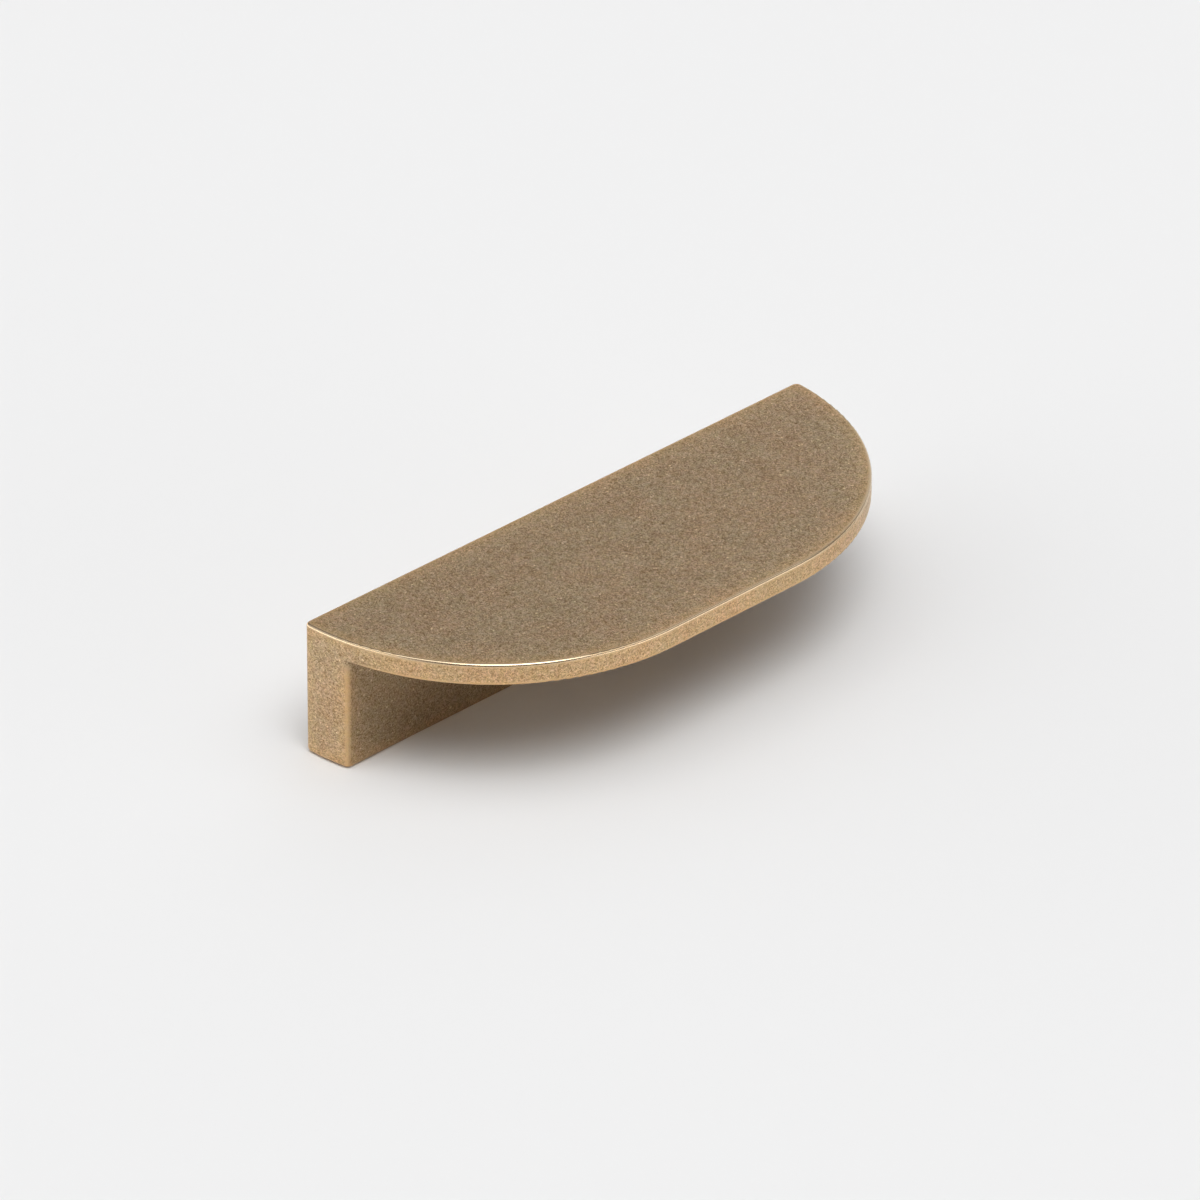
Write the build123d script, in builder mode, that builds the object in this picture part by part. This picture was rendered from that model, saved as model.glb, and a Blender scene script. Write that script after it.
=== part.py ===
from build123d import *
import math
import os

# Cabinet pull in one piece of solid brass: a thick mounting leg with a thinner finger plate along its top,
# both cut to one half-moon outline. Two blind tapped holes in the mounting face take the fixing screws.
# Lengths are in millimetres. The origin is on the mounting face, midway between the two screw holes.
# +X runs along the drawer front, +Y points into the drawer and +Z is up.

# Outline, seen from above
hole_spacing = 96.0
hole_end_distance = 12.0
overall_length = hole_spacing + 2 * hole_end_distance
projection = 45.0
front_straight = 30.0

# Section, seen from the end
overall_height = 26.0
leg_thickness = 9.8
plate_thickness = 4.2
leg_bottom = -overall_height / 2
plate_top = overall_height / 2
plate_underside = plate_top - plate_thickness

# Screw holes, drilled and countersunk for an M4 thread
tap_drill_diameter = 3.3
countersink_diameter = 4.4
drill_point_angle = 118.0
metal_before_hole = 1.8

# Edges worn round by tumbling
leg_corner_round = 1.2
leg_bottom_round = 1.0
rim_round = 0.5


def outline_at(level):
    """Half-moon outline at one height: each end is one arc, from the mounting face round to the front."""
    with BuildSketch(Plane.XY.offset(level)) as outline:
        with BuildLine():
            back_line = Line((-overall_length / 2, 0), (overall_length / 2, 0))
            front_line = Line((-front_straight / 2, -projection), (front_straight / 2, -projection))
            TangentArc(front_line @ 1, back_line @ 1, tangent=front_line % 1)
            TangentArc(front_line @ 0, back_line @ 0, tangent=-(front_line % 0))
        make_face()
    return outline.sketch


# Finger plate: the whole outline, with the lower edge of its rim rounded where fingers pull
with BuildPart() as plate:
    add(outline_at(plate_underside))
    extrude(amount=plate_thickness)
    underside_edges = plate.edges().group_by(Axis.Z)[0]
    fillet(underside_edges.sort_by(Axis.Y)[:-1], radius=rim_round)

# Mounting leg: the strip of the same outline next to the mounting face, at full height
with BuildPart() as leg:
    add(outline_at(leg_bottom))
    extrude(amount=overall_height)
    split(bisect_by=Plane.XZ.offset(leg_thickness), keep=Keep.BOTTOM)
    fillet(leg.edges().filter_by(Axis.Z).group_by(Axis.Y)[0], radius=leg_corner_round)

# One screw hole, along its own Z axis: countersunk mouth, straight bore and drill point
bore_radius = tap_drill_diameter / 2
mouth_radius = countersink_diameter / 2
mouth_depth = mouth_radius - bore_radius
point_depth = bore_radius / math.tan(math.radians(drill_point_angle / 2))
hole_depth = leg_thickness - metal_before_hole

with BuildPart() as screw_hole:
    with BuildSketch(Plane.XZ):
        with BuildLine():
            Polyline(
                (0, 0),
                (mouth_radius, 0),
                (bore_radius, -mouth_depth),
                (bore_radius, point_depth - hole_depth),
                (0, -hole_depth),
                close=True,
            )
        make_face()
    revolve(axis=Axis.Z)

# The pull: leg and plate in one piece, with the edges round both of them and the holes in the mounting face
mounting_face = Plane(origin=(0, 0, 0), x_dir=(1, 0, 0), z_dir=(0, 1, 0))

with BuildPart() as pull:
    add(plate.part)
    add(leg.part)
    fillet(pull.edges().filter_by(Axis.Z).group_by(Axis.Y)[-1], radius=leg_corner_round)
    fillet(pull.edges().group_by(Axis.Z)[-1], radius=rim_round)
    fillet(pull.edges().group_by(Axis.Z)[0], radius=leg_bottom_round)
    with Locations(mounting_face):
        with GridLocations(hole_spacing, hole_spacing, 2, 1):
            add(screw_hole.part, mode=Mode.SUBTRACT)

pull.part.label = "pull"
os.makedirs("parts", exist_ok=True)
export_step(pull.part, "parts/pull.step")
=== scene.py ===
import math

import bpy
from mathutils import Euler, Matrix, Vector


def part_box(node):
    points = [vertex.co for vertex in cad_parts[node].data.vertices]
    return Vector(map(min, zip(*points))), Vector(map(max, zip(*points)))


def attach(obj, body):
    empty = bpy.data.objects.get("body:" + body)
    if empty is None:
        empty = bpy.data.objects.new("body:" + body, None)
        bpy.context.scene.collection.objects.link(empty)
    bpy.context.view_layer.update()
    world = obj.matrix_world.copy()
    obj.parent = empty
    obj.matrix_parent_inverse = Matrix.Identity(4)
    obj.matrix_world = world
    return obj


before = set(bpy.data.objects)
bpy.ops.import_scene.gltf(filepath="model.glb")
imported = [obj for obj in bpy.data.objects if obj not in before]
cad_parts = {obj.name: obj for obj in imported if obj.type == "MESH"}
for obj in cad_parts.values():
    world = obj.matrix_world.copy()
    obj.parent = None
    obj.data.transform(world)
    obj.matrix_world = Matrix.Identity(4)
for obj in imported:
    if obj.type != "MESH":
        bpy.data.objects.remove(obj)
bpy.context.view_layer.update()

# Cabinet pull in tumbled, aged brass, standing on its mounting leg on a pale studio floor.
# Lengths are in metres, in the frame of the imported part: the origin is on the mounting face, midway
# between the two screw holes, with +X along the pull, +Y out of the mounting face and +Z up.

MILLIMETRE = 0.001
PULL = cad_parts["pull"]
LOW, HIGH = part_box("pull")

# Sizes of the pull that its finish follows
PROJECTION = 45 * MILLIMETRE
FRONT_HALF = 15 * MILLIMETRE
LEG_FRONT = -9.8 * MILLIMETRE
UNDERSIDE = 8.8 * MILLIMETRE
RIM_ROUND = 0.5 * MILLIMETRE
CORNER_ROUND = 1.2 * MILLIMETRE
BOTTOM_ROUND = 1.0 * MILLIMETRE

# Screw holes, and the thread in them: a ridge that is wider at the wall than at its tip
HOLE_X = 48 * MILLIMETRE
HOLE_MOUTH = 2.2 * MILLIMETRE
BORE_RADIUS = 1.65 * MILLIMETRE
THREAD_PITCH = 0.7 * MILLIMETRE
THREAD_START = 0.9 * MILLIMETRE
THREAD_TURNS = 8
THREAD_STEPS = 32
RIDGE_HEIGHT = 0.18 * MILLIMETRE
RIDGE_TIP = 0.22 * MILLIMETRE
RIDGE_MIDDLE = BORE_RADIUS - 0.06 * MILLIMETRE
RIDGE_SPREAD = 2.0
WELD_DISTANCE = 0.001 * MILLIMETRE
SMOOTH_ANGLE = math.radians(30)

# How far the changes of finish reach from the edges of the pull
WORN_REACH = 1.3 * MILLIMETRE
BORDER_REACH = 3.5 * MILLIMETRE
TOP_BORDER_REACH = 8 * MILLIMETRE
EDGE_REACH = 0.8 * MILLIMETRE
CORNER_SHADE_REACH = 14 * MILLIMETRE

# Sizes of the grains and lumps of the finish
FINE_GRAIN = 0.20 * MILLIMETRE
BRIGHT_GRAIN = 0.30 * MILLIMETRE
MOTTLE = 0.55 * MILLIMETRE
CLOUD = 5.0 * MILLIMETRE
DENT = 0.3 * MILLIMETRE
DENT_DEPTH = 0.03 * MILLIMETRE
NOISE_ROUGHNESS = 0.55

# Colours of the brass
DARK_DENT = (0.223, 0.129, 0.051)
HIGH_SPOT = (0.772, 0.569, 0.359)
BRIGHT_METAL = (0.98, 0.77, 0.48)
# Polished upper edge of the rim, paler so that its highlight shows cream: partly a painted highlight
POLISHED_EDGE_AND_PAINTED_HIGHLIGHT = (0.64, 0.52, 0.37)
CUT_METAL = (0.78, 0.60, 0.33)

# Tones that the colour of the brass is multiplied by
BORDER_TONE = (1.12, 1.08, 0.98)
WORN_TONE = (1.12, 1.09, 1.03)
# Painted light: the rim in front of the leg made a little lighter
FRONT_RIM_PAINTED_LIGHT = (1.07, 1.06, 1.05)
# Painted sheen, with a little golden wear, on the top of the plate beside its edges
TOP_BORDER_SHEEN_AND_WEAR = (1.13, 1.12, 1.09)
# Painted shade under the plate, with the darker, less rubbed patina there
INNER_CORNER_PAINTED_SHADE = (0.74, 0.74, 0.74)

# Patches of patina: their size, and the two tones that they pass between
PATCHES = (
    (8.0 * MILLIMETRE, (1.025, 0.99, 0.985), (0.975, 1.01, 1.015)),
    (1.3 * MILLIMETRE, (1.018, 0.989, 1.0), (0.982, 1.011, 1.0)),
    (1.1 * MILLIMETRE, (1.003, 1.0, 0.94), (0.997, 1.0, 1.06)),
)

WHITE = (1.0, 1.0, 1.0)
BLACK = (0.0, 0.0, 0.0)


def principled(material):
    """The shader node that a material starts with."""
    return material.node_tree.nodes["Principled BSDF"]


def new_material(name):
    """A material with a shader and an output, ready for its finish."""
    material = bpy.data.materials.new(name)
    material.use_nodes = True
    return material


def add_node(material, kind):
    """A node of one kind, in a material or a world."""
    return material.node_tree.nodes.new(kind)


def link(material, start, end):
    """Joins an output of one node to an input of another."""
    material.node_tree.links.new(start, end)


def feed(material, value, socket):
    """Gives an input its value, which is an output of another node or a number."""
    if isinstance(value, (int, float)):
        socket.default_value = value
    else:
        link(material, value, socket)


def noise(material, place, lump, detail=3.0):
    """Noise from 0 to 1, with lumps of about one size, in metres."""
    node = add_node(material, "ShaderNodeTexNoise")
    node.inputs["Scale"].default_value = 1.0 / lump
    node.inputs["Detail"].default_value = detail
    node.inputs["Roughness"].default_value = NOISE_ROUGHNESS
    link(material, place, node.inputs["Vector"])
    return node.outputs["Fac"]


def stretch(material, value, low, high, to_low=0.0, to_high=1.0, smooth=True):
    """A value between low and high becomes one between to_low and to_high, and stops there."""
    node = add_node(material, "ShaderNodeMapRange")
    node.interpolation_type = "SMOOTHSTEP" if smooth else "LINEAR"
    node.inputs["From Min"].default_value = low
    node.inputs["From Max"].default_value = high
    node.inputs["To Min"].default_value = to_low
    node.inputs["To Max"].default_value = to_high
    link(material, value, node.inputs["Value"])
    return node.outputs["Result"]


def mix(material, share, first, second):
    """Colour that goes from first to second as share goes from 0 to 1. Each is a socket or a colour."""
    node = add_node(material, "ShaderNodeMix")
    node.data_type = "RGBA"
    link(material, share, node.inputs["Factor"])
    for name, colour in (("A", first), ("B", second)):
        socket = next(s for s in node.inputs if s.name == name and s.type == "RGBA")
        if isinstance(colour, tuple):
            socket.default_value = (*colour, 1.0)
        else:
            link(material, colour, socket)
    return next(s for s in node.outputs if s.type == "RGBA")


def blend(material, share, first, second):
    """Value that goes from first to second as share goes from 0 to 1. All three are sockets."""
    node = add_node(material, "ShaderNodeMix")
    for index, value in enumerate((share, first, second)):
        socket = [s for s in node.inputs if s.type == "VALUE"][index]
        link(material, value, socket)
    return node.outputs[0]


def arithmetic(material, operation, first, second=0.0):
    """One step on values, each a socket or a number."""
    node = add_node(material, "ShaderNodeMath")
    node.operation = operation
    feed(material, first, node.inputs[0])
    feed(material, second, node.inputs[1])
    return node.outputs["Value"]


def vector(material, operation, first, second=None, scale=None):
    """One step on vectors. Each is a socket, and scale is a value to multiply by."""
    node = add_node(material, "ShaderNodeVectorMath")
    node.operation = operation
    link(material, first, node.inputs[0])
    if second is not None:
        link(material, second, node.inputs[1])
    if scale is not None:
        link(material, scale, node.inputs["Scale"])
    return node.outputs["Vector"]


def join(material, x, y, z):
    """A vector from three parts, each a socket or a number."""
    node = add_node(material, "ShaderNodeCombineXYZ")
    for name, value in (("X", x), ("Y", y), ("Z", z)):
        feed(material, value, node.inputs[name])
    return node.outputs["Vector"]


def split(material, place):
    """The x, y and z of a place."""
    node = add_node(material, "ShaderNodeSeparateXYZ")
    link(material, place, node.inputs["Vector"])
    return node.outputs["X"], node.outputs["Y"], node.outputs["Z"]


def grains(material, place, width):
    """A random value from 0 to 1 for each grain of the surface.

    Grains are about one width across, with ragged edges.
    """
    ragged = add_node(material, "ShaderNodeTexNoise")
    ragged.inputs["Scale"].default_value = 2.0 / width
    ragged.inputs["Detail"].default_value = 1.0
    link(material, place, ragged.inputs["Vector"])
    moved = add_node(material, "ShaderNodeVectorMath")
    moved.operation = "MULTIPLY_ADD"
    moved.inputs[1].default_value = (width, width, width)
    link(material, ragged.outputs["Color"], moved.inputs[0])
    link(material, place, moved.inputs[2])
    node = add_node(material, "ShaderNodeTexVoronoi")
    node.inputs["Scale"].default_value = 1.0 / width
    link(material, moved.outputs["Vector"], node.inputs["Vector"])
    return node.outputs["Color"]


def past(material, value, level):
    """How far a value is past its level, and 0 before it."""
    return arithmetic(material, "MAXIMUM", arithmetic(material, "SUBTRACT", value, level), 0.0)


def across(material, first, second):
    """Straight distance from two distances at right angles."""
    squares = [arithmetic(material, "MULTIPLY", side, side) for side in (first, second)]
    return arithmetic(material, "SQRT", arithmetic(material, "ADD", *squares))


def near(material, value, level, reach):
    """1 where a value is at its level, falling to 0 where it is one reach away."""
    gap = arithmetic(material, "ABSOLUTE", arithmetic(material, "SUBTRACT", value, level))
    return stretch(material, gap, 0.0, reach, 1.0, 0.0)


def outline_distance(material, x, y):
    """Distance from the middle of the half-moon, which is the projection everywhere on the outline."""
    beyond = past(material, arithmetic(material, "ABSOLUTE", x), FRONT_HALF)
    return across(material, beyond, y)


def round_normal(material, place):
    """Surface normal, taken on the rim, the back corners and the round along the top from their true form.

    These rounds are so small and so bright that a highlight along them would show each facet of the mesh.
    """
    x, y, z = split(material, place)
    side = arithmetic(material, "ABSOLUTE", x)
    beyond = past(material, side, FRONT_HALF)
    core = PROJECTION - CORNER_ROUND
    corner_x = FRONT_HALF + math.sqrt(core ** 2 - CORNER_ROUND ** 2)

    # How far out a place is from the line where the corner rounds have their centres
    past_rim = past(material, across(material, beyond, y), core)
    rim = vector(material, "NORMALIZE", join(material, beyond, y, 0.0))
    rim = vector(material, "SCALE", rim, scale=past_rim)
    past_corner = past(material, side, corner_x)
    past_back = arithmetic(material, "ADD", y, CORNER_ROUND)
    back = join(material, past_corner, past_back, 0.0)
    out = mix(material, arithmetic(material, "GREATER_THAN", past_back, 0.0), rim, back)
    out = vector(material, "MULTIPLY", out, join(material, arithmetic(material, "SIGN", x), 1.0, 0.0))
    out_x, out_y, _ = split(material, out)
    reach = across(material, out_x, out_y)

    # The round along the top, and straight faces below it
    outward = past(material, reach, CORNER_ROUND - RIM_ROUND)
    upward = past(material, z, HIGH.z - RIM_ROUND)
    normal = vector(material, "SCALE", vector(material, "NORMALIZE", out), scale=outward)
    normal = vector(material, "ADD", normal, join(material, 0.0, 0.0, upward))
    normal = vector(material, "NORMALIZE", normal)

    # On the edge of the plate and all the way down the ends of the leg, fading out short of the other rounds
    outer = stretch(material, reach, CORNER_ROUND - 1.2 * RIM_ROUND, CORNER_ROUND - 1.1 * RIM_ROUND)
    on_plate = stretch(material, z, UNDERSIDE + RIM_ROUND, UNDERSIDE + 1.2 * RIM_ROUND)
    on_end = stretch(material, side, corner_x - 0.1 * RIM_ROUND, corner_x)
    on_leg = stretch(material, y, LEG_FRONT + 1.2 * CORNER_ROUND, LEG_FRONT + 1.4 * CORNER_ROUND)
    on_end = arithmetic(material, "MULTIPLY", on_end, on_leg)
    over_bottom = stretch(material, z, LOW.z + BOTTOM_ROUND, LOW.z + 1.2 * BOTTOM_ROUND)
    on_end = arithmetic(material, "MULTIPLY", on_end, over_bottom)
    share = arithmetic(material, "MULTIPLY", outer, arithmetic(material, "MAXIMUM", on_plate, on_end))
    facets = add_node(material, "ShaderNodeNewGeometry").outputs["Normal"]
    return mix(material, share, facets, normal)


def outer_edges(material, place, reach):
    """1 along the outer edges of the pull and 0 on its faces and in its inner corner.

    A point counts as near an edge when it is near two faces at once.
    """
    x, y, z = split(material, place)
    rim = near(material, outline_distance(material, x, y), PROJECTION, reach)
    top = near(material, z, HIGH.z, reach)
    bottom = near(material, z, LOW.z, reach)
    back = near(material, y, 0.0, reach)
    below_plate = stretch(material, z, UNDERSIDE - reach, UNDERSIDE, 1.0, 0.0)
    leg_front = arithmetic(material, "MULTIPLY", near(material, y, LEG_FRONT, reach), below_plate)
    before_leg = stretch(material, y, LEG_FRONT - 2 * reach, LEG_FRONT - reach, 1.0, 0.0)
    underside = arithmetic(material, "MULTIPLY", near(material, z, UNDERSIDE, reach), before_leg)
    total = arithmetic(material, "ADD", rim, top)
    for share in (bottom, back, leg_front, underside):
        total = arithmetic(material, "ADD", total, share)
    return stretch(material, total, 1.0, 2.0, smooth=False)


def front_rim(material, place):
    """1 on the rim in front of the leg and 0 elsewhere."""
    x, y, _ = split(material, place)
    rim = near(material, outline_distance(material, x, y), PROJECTION, EDGE_REACH)
    before_leg = stretch(material, y, 2 * LEG_FRONT, LEG_FRONT, 1.0, 0.0)
    return arithmetic(material, "MULTIPLY", rim, before_leg)


def upper_edge(material, place):
    """1 along the upper edge of the rim and 0 away from it."""
    x, y, z = split(material, place)
    rim = near(material, outline_distance(material, x, y), PROJECTION, EDGE_REACH)
    top = near(material, z, HIGH.z, EDGE_REACH)
    return stretch(material, arithmetic(material, "ADD", rim, top), 1.0, 2.0, smooth=False)


def top_border(material, place):
    """1 on the top of the plate beside its edges, falling to 0 toward its middle, and 0 elsewhere."""
    x, y, z = split(material, place)
    rim = near(material, outline_distance(material, x, y), PROJECTION, TOP_BORDER_REACH)
    back = near(material, y, 0.0, TOP_BORDER_REACH)
    top = near(material, z, HIGH.z, EDGE_REACH)
    return arithmetic(material, "MULTIPLY", top, arithmetic(material, "MAXIMUM", rim, back))


def inner_corner_shade(material, place):
    """Share of painted shade under the plate, with its less rubbed patina: 1 on the front of the leg, which
    tumbling hardly rubs, less on the plate beside it, 0 elsewhere.
    """
    _, y, z = split(material, place)
    below_plate = stretch(material, z, UNDERSIDE, UNDERSIDE + 0.3 * MILLIMETRE, 1.0, 0.0)
    before_leg = stretch(material, y, LEG_FRONT, LEG_FRONT + 0.4 * MILLIMETRE, 1.0, 0.0)
    beside_leg = stretch(material, y, LEG_FRONT - CORNER_SHADE_REACH, LEG_FRONT, 0.3, 1.0)
    share = arithmetic(material, "MULTIPLY", below_plate, before_leg)
    return arithmetic(material, "MULTIPLY", share, beside_leg)


def screw_holes(material, place):
    """1 on the walls of the two screw holes and 0 elsewhere."""
    x, y, z = split(material, place)
    off_centre = arithmetic(material, "SUBTRACT", arithmetic(material, "ABSOLUTE", x), HOLE_X)
    radius = across(material, off_centre, z)
    inside = stretch(material, radius, HOLE_MOUTH, HOLE_MOUTH + 0.05 * MILLIMETRE, 1.0, 0.0)
    in_leg = stretch(material, y, LEG_FRONT + 0.5 * MILLIMETRE, LEG_FRONT + 1.0 * MILLIMETRE)
    return arithmetic(material, "MULTIPLY", inside, in_leg)


def tint(material, colour, share, tone):
    """Colour multiplied by a tone, as far as share goes from 0 to 1."""
    return vector(material, "MULTIPLY", colour, mix(material, share, WHITE, tone))


def tumbled_brass():
    """Aged brass, tumbled with media: a fine speckle of dark dents and rubbed high spots."""
    material = new_material("tumbled_brass")
    place = add_node(material, "ShaderNodeTexCoord").outputs["Object"]

    # Outer edges, worn smooth in a narrow line and golden in a wider border
    worn = stretch(material, outer_edges(material, place, WORN_REACH), 0.12, 0.85)
    border = outer_edges(material, place, BORDER_REACH)

    # Speckle, from dark dents to rubbed high spots: fine grains, with weaker and wider mottling below them
    mottle = arithmetic(material, "MULTIPLY", noise(material, place, MOTTLE, 1.0), 0.45)
    cloud = arithmetic(material, "MULTIPLY", noise(material, place, CLOUD), 0.20)
    speckle = arithmetic(material, "ADD", grains(material, place, FINE_GRAIN), mottle)
    speckle = arithmetic(material, "ADD", speckle, cloud)
    tone = stretch(material, speckle, 0.34, 1.32, smooth=False)
    smoothed = stretch(material, tone, 0.0, 1.0, 0.48, 0.60, smooth=False)
    rubbed = arithmetic(material, "MAXIMUM", worn, arithmetic(material, "MULTIPLY", border, 0.20))
    tone = blend(material, rubbed, tone, smoothed)
    colour = mix(material, tone, DARK_DENT, HIGH_SPOT)

    # A few grains worn down to bright metal
    bright = stretch(material, grains(material, place, BRIGHT_GRAIN), 0.88, 0.96)
    bright = arithmetic(material, "MULTIPLY", bright, stretch(material, border, 0.0, 0.8, 0.85, 0.40))
    colour = mix(material, bright, colour, BRIGHT_METAL)

    # Patches of patina, which pass softly into each other
    for lump, first, second in PATCHES:
        share = stretch(material, noise(material, place, lump), 0.3, 0.7)
        colour = vector(material, "MULTIPLY", colour, mix(material, share, first, second))

    # Golden border and worn edges, and in the inner corner painted shade under the plate, with the less
    # rubbed patina there
    colour = tint(material, colour, border, BORDER_TONE)
    colour = tint(material, colour, worn, WORN_TONE)
    # Painted light: the rim in front of the leg made a little lighter
    colour = tint(material, colour, front_rim(material, place), FRONT_RIM_PAINTED_LIGHT)
    # Painted sheen, with a little golden wear, on the top beside its edges
    colour = tint(material, colour, top_border(material, place), TOP_BORDER_SHEEN_AND_WEAR)
    # Along the upper edge of the rim, a paler colour for the polished edge and for the cream of its painted
    # highlight
    colour = mix(material, upper_edge(material, place), colour, POLISHED_EDGE_AND_PAINTED_HIGHLIGHT)
    # Painted shade on the front of the leg and under the plate, with its less rubbed patina
    colour = tint(material, colour, inner_corner_shade(material, place), INNER_CORNER_PAINTED_SHADE)

    # Clean cut metal in the screw holes
    holes = screw_holes(material, place)
    colour = mix(material, holes, colour, CUT_METAL)

    # High spots, worn edges and cut metal are smoother than the dents
    roughness = stretch(material, tone, 0.0, 1.0, 0.46, 0.34)
    for share, drop in ((worn, 0.16), (holes, 0.10)):
        smoother = arithmetic(material, "MULTIPLY", share, drop)
        roughness = arithmetic(material, "SUBTRACT", roughness, smoother)

    # Small dents, fainter on the worn edges
    bump = add_node(material, "ShaderNodeBump")
    bump.inputs["Distance"].default_value = DENT_DEPTH
    link(material, round_normal(material, place), bump.inputs["Normal"])
    link(material, stretch(material, worn, 0.0, 1.0, 0.18, 0.03), bump.inputs["Strength"])
    link(material, noise(material, place, DENT, 2.0), bump.inputs["Height"])

    shader = principled(material)
    shader.inputs["Metallic"].default_value = 1.0
    link(material, colour, shader.inputs["Base Color"])
    link(material, roughness, shader.inputs["Roughness"])
    link(material, bump.outputs["Normal"], shader.inputs["Normal"])
    return material


def paper_floor():
    """Matt white studio paper."""
    material = new_material("paper_floor")
    shader = principled(material)
    shader.inputs["Base Color"].default_value = (0.82, 0.82, 0.82, 1.0)
    shader.inputs["Roughness"].default_value = 0.9
    shader.inputs["Specular IOR Level"].default_value = 0.2
    return material


def screw_thread(name, hole_x):
    """Thread of one screw hole: the section of its ridge, turned round and along the hole."""
    # Section of the ridge, beside the Z axis
    bpy.ops.object.select_all(action="DESELECT")
    bpy.ops.mesh.primitive_plane_add(size=1.0, location=(0, 0, 0), rotation=(math.pi / 2, 0, 0))
    thread = bpy.context.object
    thread.name = name
    bpy.ops.object.transform_apply(location=True, rotation=True, scale=True)
    bpy.ops.object.mode_set(mode="EDIT")
    bpy.ops.mesh.select_all(action="SELECT")
    bpy.ops.mesh.delete(type="ONLY_FACE")
    bpy.ops.mesh.select_all(action="SELECT")
    bpy.ops.transform.resize(value=(RIDGE_HEIGHT, 1.0, RIDGE_TIP), center_override=(0, 0, 0))
    bpy.ops.transform.translate(value=(RIDGE_MIDDLE, 0, THREAD_START))
    bpy.ops.object.mode_set(mode="OBJECT")
    for corner in thread.data.vertices:
        corner.select = corner.co.x > RIDGE_MIDDLE
    bpy.ops.object.mode_set(mode="EDIT")
    bpy.ops.transform.resize(value=(1, 1, RIDGE_SPREAD), center_override=(BORE_RADIUS, 0, THREAD_START))
    bpy.ops.object.mode_set(mode="OBJECT")

    # Turned round the axis, one pitch up for each turn
    turn = thread.modifiers.new("turn", "SCREW")
    turn.axis = "Z"
    turn.angle = 2 * math.pi
    turn.screw_offset = THREAD_PITCH
    turn.iterations = THREAD_TURNS
    turn.steps = THREAD_STEPS
    turn.render_steps = THREAD_STEPS
    bpy.ops.object.modifier_apply(modifier=turn.name)

    # Closed at both ends, then laid along its hole
    bpy.ops.object.mode_set(mode="EDIT")
    bpy.ops.mesh.select_all(action="SELECT")
    bpy.ops.mesh.remove_doubles(threshold=WELD_DISTANCE)
    bpy.ops.mesh.select_all(action="DESELECT")
    bpy.ops.mesh.select_non_manifold()
    bpy.ops.mesh.fill_holes(sides=4)
    bpy.ops.mesh.select_all(action="SELECT")
    bpy.ops.mesh.normals_make_consistent(inside=False)
    bpy.ops.object.mode_set(mode="OBJECT")
    bpy.ops.object.shade_smooth_by_angle(angle=SMOOTH_ANGLE)
    bpy.ops.transform.rotate(value=-math.pi / 2, orient_axis="X", center_override=(0, 0, 0))
    bpy.ops.transform.translate(value=(hole_x, 0, 0))
    bpy.ops.object.transform_apply(location=True, rotation=True, scale=True)
    thread.data.materials.append(PULL.data.materials[0])
    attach(thread, "root")


PULL.data.materials.clear()
PULL.data.materials.append(tumbled_brass())

screw_thread("left_thread", -HOLE_X)
screw_thread("right_thread", HOLE_X)

# Floor, level with the bottom of the leg
FLOOR_SIDE = 4.0
bpy.ops.object.select_all(action="DESELECT")
bpy.ops.mesh.primitive_plane_add(size=FLOOR_SIDE, location=(0, 0, LOW.z))
floor = bpy.context.object
floor.name = "floor"
floor.data.materials.append(paper_floor())

# Soft lights of the studio: azimuth round +Z, tilt from straight above, inner and outer radius, all in
# degrees, then brightness and colour. Each is full within its inner radius and gone at its outer one.
SOFT_LIGHTS = (
    (241.5, 26.5, 7, 23, 5.42, WHITE),
    (156, 17, 6, 24, 1.38, WHITE),
    (135, 45, 10, 30, 0.44, WHITE),
    (311, 27, 8, 32, 1.08, WHITE),
    (26, 62, 16, 29, 0.48, (0.98, 1.0, 1.05)),
    (165, 65, 5, 26, 0.63, WHITE),
    (182, 2, 8, 28, 0.48, WHITE),
    (188, 68, 4, 22, 0.50, WHITE),
)

# Walls and room, seen from the pull
CAMERA_AZIMUTH = 225.7
LEFT_WALL_AZIMUTH = 135
RIGHT_WALL_AZIMUTH = 285
WALL_HEIGHT = 0.40
WALL_COLOUR = (3.36, 3.36, 3.36)
WEAK_WALL = 0.15
ROOM_TILT = 55
ROOM_COLOUR = (0.21, 0.21, 0.21)
DARK_ROOM_COLOUR = (0.05, 0.05, 0.05)


def direction(azimuth, tilt=90):
    """Direction at an azimuth and a tilt from straight above, in degrees."""
    up = Vector((0, 0, 1))
    up.rotate(Euler((0, math.radians(tilt), math.radians(azimuth))))
    return up


def along(material, place, heading):
    """How far a place lies along a heading."""
    node = add_node(material, "ShaderNodeVectorMath")
    node.operation = "DOT_PRODUCT"
    link(material, place, node.inputs[0])
    node.inputs[1].default_value = heading
    return node.outputs["Value"]


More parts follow.
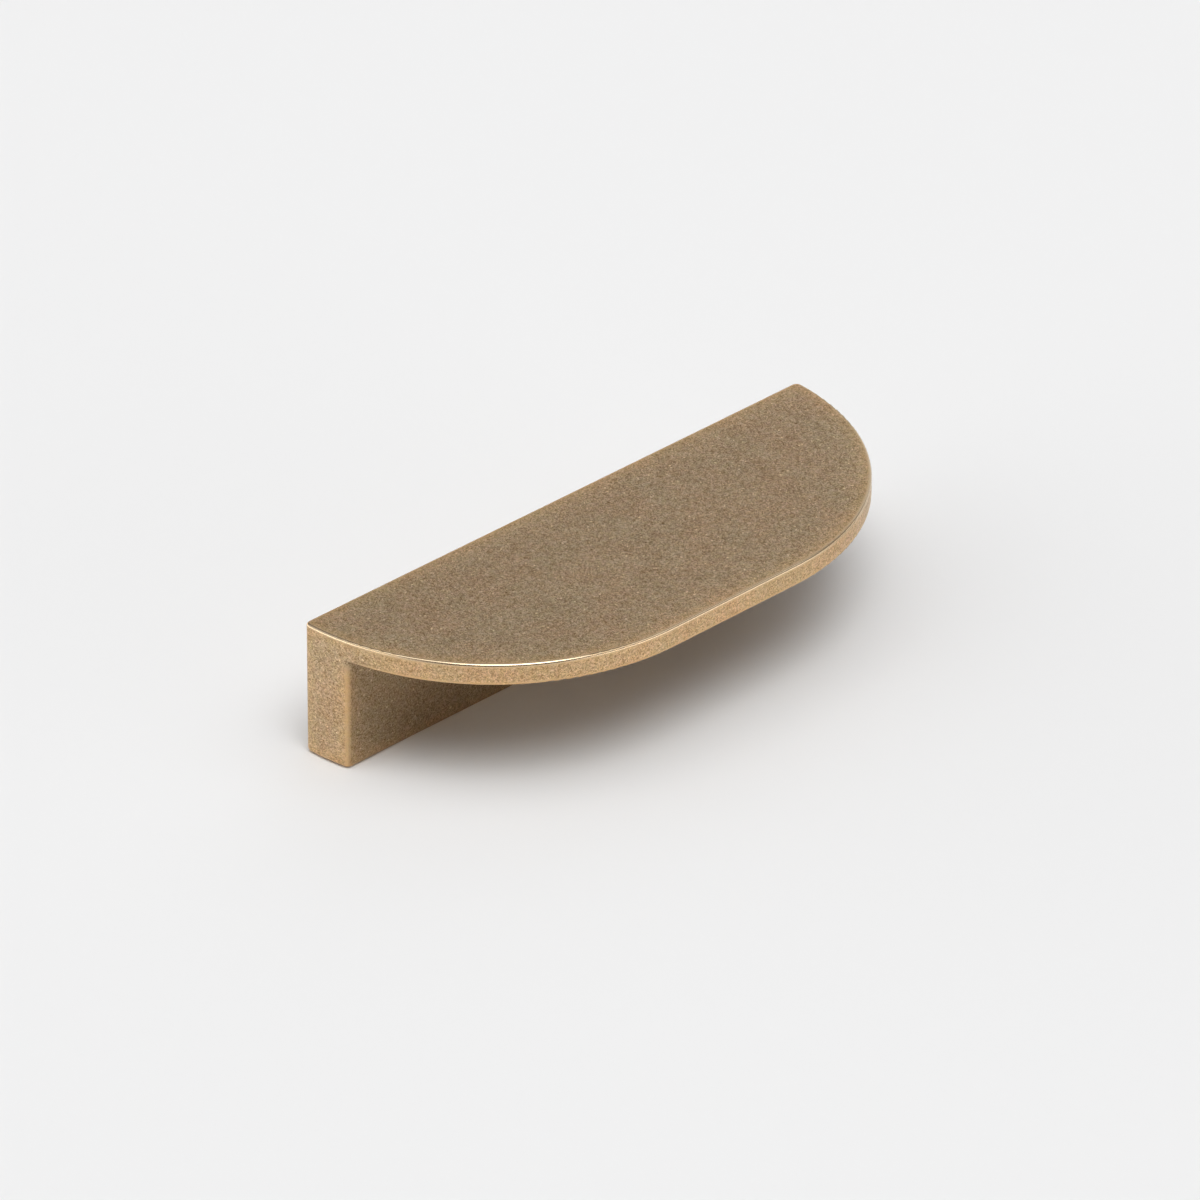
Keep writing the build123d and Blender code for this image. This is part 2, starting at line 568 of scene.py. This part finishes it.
def studio_world():
    """Dark studio with soft lights over the pull and pale walls low on its left and right."""
    world = bpy.data.worlds.new("studio")
    world.use_nodes = True
    place = add_node(world, "ShaderNodeTexCoord").outputs["Generated"]

    # Pale walls that fade upward and toward the camera, with a weak glow between them
    left = stretch(world, along(world, place, direction(LEFT_WALL_AZIMUTH)), 0.4, 1.0, 0.0, 1.15)
    right = stretch(world, along(world, place, direction(RIGHT_WALL_AZIMUTH)), 0.7, 1.0, 0.0, 0.85)
    beside = stretch(world, along(world, place, direction(CAMERA_AZIMUTH)), 0.90, 0.70)
    low = stretch(world, along(world, place, direction(0, 0)), WALL_HEIGHT, 0.0)
    walls = arithmetic(world, "ADD", arithmetic(world, "ADD", left, right), WEAK_WALL)
    walls = arithmetic(world, "MULTIPLY", walls, beside)
    walls = arithmetic(world, "MULTIPLY", walls, low)

    # The room above the walls, darker round the camera than behind the pull
    behind = stretch(world, along(world, place, direction(CAMERA_AZIMUTH, ROOM_TILT)), 0.80, 0.30)
    room = mix(world, behind, DARK_ROOM_COLOUR, ROOM_COLOUR)
    colour = mix(world, walls, room, WALL_COLOUR)

    for azimuth, tilt, inner, outer, brightness, tone in SOFT_LIGHTS:
        edge = math.cos(math.radians(outer))
        full = math.cos(math.radians(inner))
        share = stretch(world, along(world, place, direction(azimuth, tilt)), edge, full)
        light = mix(world, share, BLACK, tuple(brightness * part for part in tone))
        colour = vector(world, "ADD", colour, light)
    link(world, colour, world.node_tree.nodes["Background"].inputs["Color"])
    return world


bpy.context.scene.world = studio_world()

# Camera, as the photograph was taken: from above the front left corner, through a long lens
VIEW_AZIMUTH = math.radians(-44.336)
VIEW_ELEVATION = math.radians(31.282)
VIEW_ROLL = math.radians(0.368)
VIEW_DISTANCE = 1719.0 * MILLIMETRE
VIEW_TARGET = Vector((0, -18.46, -1.0)) * MILLIMETRE
VIEW_SLIDE = Vector((-4.943, 1.256)) * MILLIMETRE
NEAREST_VIEW = 0.05
SENSOR = 36.0
LENS = 294.78


def photograph_camera():
    """Camera at the photograph's angle, distance and framing."""
    back = Vector((
        math.sin(VIEW_AZIMUTH) * math.cos(VIEW_ELEVATION),
        -math.cos(VIEW_AZIMUTH) * math.cos(VIEW_ELEVATION),
        math.sin(VIEW_ELEVATION),
    ))
    level = Vector((math.cos(VIEW_AZIMUTH), math.sin(VIEW_AZIMUTH), 0))
    rise = back.cross(level)
    right = level * math.cos(VIEW_ROLL) + rise * math.sin(VIEW_ROLL)
    up = rise * math.cos(VIEW_ROLL) - level * math.sin(VIEW_ROLL)
    camera = bpy.data.objects.new("camera", bpy.data.cameras.new("camera"))
    bpy.context.scene.collection.objects.link(camera)
    camera.data.sensor_width = SENSOR
    camera.data.lens = LENS
    camera.data.clip_start = NEAREST_VIEW
    place = VIEW_TARGET + back * VIEW_DISTANCE + right * VIEW_SLIDE.x + up * VIEW_SLIDE.y
    camera.matrix_world = Matrix.Translation(place) @ Matrix((right, up, back)).transposed().to_4x4()
    bpy.context.scene.camera = camera


photograph_camera()
bpy.context.scene.view_settings.view_transform = "Standard"
